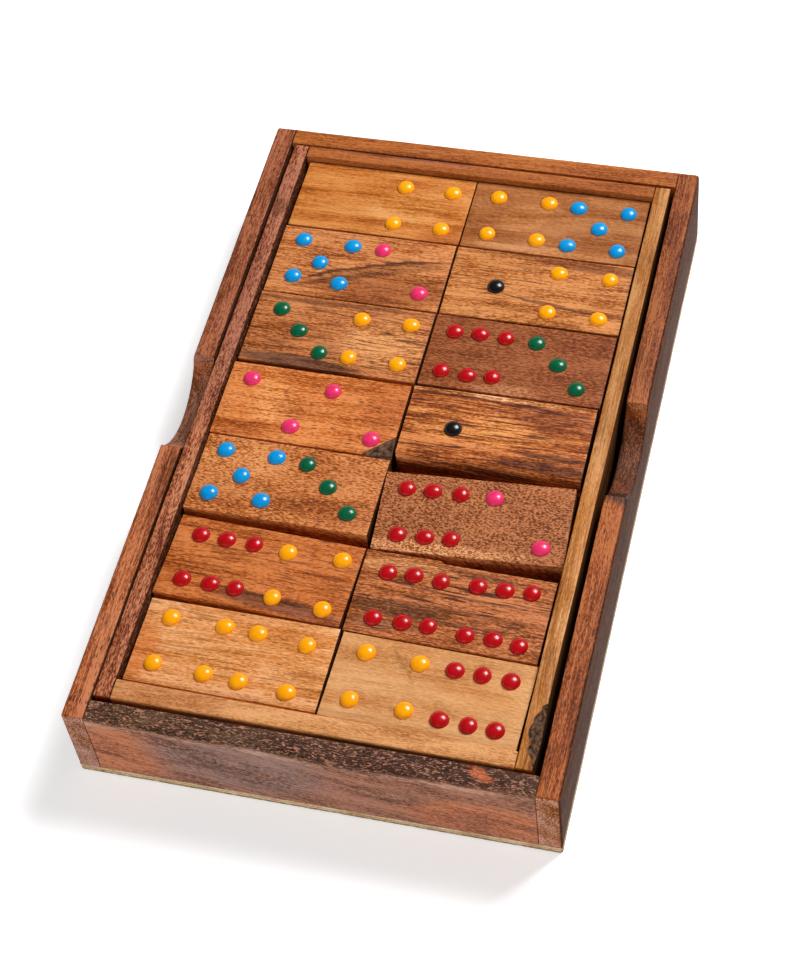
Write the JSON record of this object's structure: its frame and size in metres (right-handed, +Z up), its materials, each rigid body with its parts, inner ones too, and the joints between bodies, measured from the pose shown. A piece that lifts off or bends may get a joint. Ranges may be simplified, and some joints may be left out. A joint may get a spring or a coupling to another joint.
{
  "type": "domino storage box",
  "caption": "Shallow wooden storage box with finger scoops and a lift-out inner tray, filled with wooden dominoes in two layers.",
  "frame": {"origin": "centre of the case's underside, on the surface it stands on", "axes": "+X to the right across the box, +Y along its length towards the far end, +Z up"},
  "size_m": [0.126, 0.205, 0.027],
  "materials": {
    "case_hardwood": "oiled satin",
    "tray_hardwood": "oiled satin",
    "domino_hardwood": "oiled satin",
    "plywood": "bare, lightly sanded",
    "enamel": "gloss enamel drops"
  },
  "bodies": {
    "case": {"case_base": "plywood", "case_rail_left": "case_hardwood", "case_rail_right": "case_hardwood", "case_rail_front": "case_hardwood", "case_rail_back": "case_hardwood"},
    "inner_tray": {"tray_base": "plywood", "tray_rail_left": "tray_hardwood", "tray_rail_right": "tray_hardwood", "tray_rail_front": "tray_hardwood", "tray_rail_back": "tray_hardwood"},
    "lower_left_1": {"domino_lower_left_1": "domino_hardwood"},
    "lower_left_2": {"domino_lower_left_2": "domino_hardwood"},
    "lower_left_3": {"domino_lower_left_3": "domino_hardwood"},
    "lower_left_4": {"domino_lower_left_4": "domino_hardwood"},
    "lower_left_5": {"domino_lower_left_5": "domino_hardwood"},
    "lower_left_6": {"domino_lower_left_6": "domino_hardwood"},
    "lower_left_7": {"domino_lower_left_7": "domino_hardwood"},
    "lower_right_1": {"domino_lower_right_1": "domino_hardwood"},
    "lower_right_2": {"domino_lower_right_2": "domino_hardwood"},
    "lower_right_3": {"domino_lower_right_3": "domino_hardwood"},
    "lower_right_4": {"domino_lower_right_4": "domino_hardwood"},
    "lower_right_5": {"domino_lower_right_5": "domino_hardwood"},
    "lower_right_6": {"domino_lower_right_6": "domino_hardwood"},
    "lower_right_7": {"domino_lower_right_7": "domino_hardwood"},
    "upper_left_1": {"domino_upper_left_1": "domino_hardwood", "pips_upper_left_1": "enamel"},
    "upper_left_2": {"domino_upper_left_2": "domino_hardwood", "pips_upper_left_2": "enamel"},
    "upper_left_3": {"domino_upper_left_3": "domino_hardwood", "pips_upper_left_3": "enamel"},
    "upper_left_4": {"domino_upper_left_4": "domino_hardwood", "pips_upper_left_4": "enamel"},
    "upper_left_5": {"domino_upper_left_5": "domino_hardwood", "pips_upper_left_5": "enamel"},
    "upper_left_6": {"domino_upper_left_6": "domino_hardwood", "pips_upper_left_6": "enamel"},
    "upper_left_7": {"domino_upper_left_7": "domino_hardwood", "pips_upper_left_7": "enamel"},
    "upper_right_1": {"domino_upper_right_1": "domino_hardwood", "pips_upper_right_1": "enamel"},
    "upper_right_2": {"domino_upper_right_2": "domino_hardwood", "pips_upper_right_2": "enamel"},
    "upper_right_3": {"domino_upper_right_3": "domino_hardwood", "pips_upper_right_3": "enamel"},
    "upper_right_4": {"domino_upper_right_4": "domino_hardwood", "pips_upper_right_4": "enamel"},
    "upper_right_5": {"domino_upper_right_5": "domino_hardwood", "pips_upper_right_5": "enamel"},
    "upper_right_6": {"domino_upper_right_6": "domino_hardwood", "pips_upper_right_6": "enamel"},
    "upper_right_7": {"domino_upper_right_7": "domino_hardwood", "pips_upper_right_7": "enamel"}
  },
  "joints": [
    {"name": "inner_tray_lift", "type": "slide", "parent": "case", "child": "inner_tray", "axis": [0, 0, 1], "range_m": [0, 0.03]},
    {"name": "lower_left_1_lift", "type": "slide", "parent": "inner_tray", "child": "lower_left_1", "axis": [0, 0, 1], "range_m": [0, 0.025]},
    {"name": "lower_left_2_lift", "type": "slide", "parent": "inner_tray", "child": "lower_left_2", "axis": [0, 0, 1], "range_m": [0, 0.025]},
    {"name": "lower_left_3_lift", "type": "slide", "parent": "inner_tray", "child": "lower_left_3", "axis": [0, 0, 1], "range_m": [0, 0.025]},
    {"name": "lower_left_4_lift", "type": "slide", "parent": "inner_tray", "child": "lower_left_4", "axis": [0, 0, 1], "range_m": [0, 0.025]},
    {"name": "lower_left_5_lift", "type": "slide", "parent": "inner_tray", "child": "lower_left_5", "axis": [0, 0, 1], "range_m": [0, 0.025]},
    {"name": "lower_left_6_lift", "type": "slide", "parent": "inner_tray", "child": "lower_left_6", "axis": [0, 0, 1], "range_m": [0, 0.025]},
    {"name": "lower_left_7_lift", "type": "slide", "parent": "inner_tray", "child": "lower_left_7", "axis": [0, 0, 1], "range_m": [0, 0.025]},
    {"name": "lower_right_1_lift", "type": "slide", "parent": "inner_tray", "child": "lower_right_1", "axis": [0, 0, 1], "range_m": [0, 0.025]},
    {"name": "lower_right_2_lift", "type": "slide", "parent": "inner_tray", "child": "lower_right_2", "axis": [0, 0, 1], "range_m": [0, 0.025]},
    {"name": "lower_right_3_lift", "type": "slide", "parent": "inner_tray", "child": "lower_right_3", "axis": [0, 0, 1], "range_m": [0, 0.025]},
    {"name": "lower_right_4_lift", "type": "slide", "parent": "inner_tray", "child": "lower_right_4", "axis": [0, 0, 1], "range_m": [0, 0.025]},
    {"name": "lower_right_5_lift", "type": "slide", "parent": "inner_tray", "child": "lower_right_5", "axis": [0, 0, 1], "range_m": [0, 0.025]},
    {"name": "lower_right_6_lift", "type": "slide", "parent": "inner_tray", "child": "lower_right_6", "axis": [0, 0, 1], "range_m": [0, 0.025]},
    {"name": "lower_right_7_lift", "type": "slide", "parent": "inner_tray", "child": "lower_right_7", "axis": [0, 0, 1], "range_m": [0, 0.025]},
    {"name": "upper_left_1_lift", "type": "slide", "parent": "lower_left_1", "child": "upper_left_1", "axis": [0, 0, 1], "range_m": [0, 0.014]},
    {"name": "upper_left_2_lift", "type": "slide", "parent": "lower_left_2", "child": "upper_left_2", "axis": [0, 0, 1], "range_m": [0, 0.014]},
    {"name": "upper_left_3_lift", "type": "slide", "parent": "lower_left_3", "child": "upper_left_3", "axis": [0, 0, 1], "range_m": [0, 0.014]},
    {"name": "upper_left_4_lift", "type": "slide", "parent": "lower_left_4", "child": "upper_left_4", "axis": [0, 0, 1], "range_m": [0, 0.014]},
    {"name": "upper_left_5_lift", "type": "slide", "parent": "lower_left_5", "child": "upper_left_5", "axis": [0, 0, 1], "range_m": [0, 0.014]},
    {"name": "upper_left_6_lift", "type": "slide", "parent": "lower_left_6", "child": "upper_left_6", "axis": [0, 0, 1], "range_m": [0, 0.014]},
    {"name": "upper_left_7_lift", "type": "slide", "parent": "lower_left_7", "child": "upper_left_7", "axis": [0, 0, 1], "range_m": [0, 0.014]},
    {"name": "upper_right_1_lift", "type": "slide", "parent": "lower_right_1", "child": "upper_right_1", "axis": [0, 0, 1], "range_m": [0, 0.014]},
    {"name": "upper_right_2_lift", "type": "slide", "parent": "lower_right_2", "child": "upper_right_2", "axis": [0, 0, 1], "range_m": [0, 0.014]},
    {"name": "upper_right_3_lift", "type": "slide", "parent": "lower_right_3", "child": "upper_right_3", "axis": [0, 0, 1], "range_m": [0, 0.014]},
    {"name": "upper_right_4_lift", "type": "slide", "parent": "lower_right_4", "child": "upper_right_4", "axis": [0, 0, 1], "range_m": [0, 0.014]},
    {"name": "upper_right_5_lift", "type": "slide", "parent": "lower_right_5", "child": "upper_right_5", "axis": [0, 0, 1], "range_m": [0, 0.014]},
    {"name": "upper_right_6_lift", "type": "slide", "parent": "lower_right_6", "child": "upper_right_6", "axis": [0, 0, 1], "range_m": [0, 0.014]},
    {"name": "upper_right_7_lift", "type": "slide", "parent": "lower_right_7", "child": "upper_right_7", "axis": [0, 0, 1], "range_m": [0, 0.014]}
  ]
}
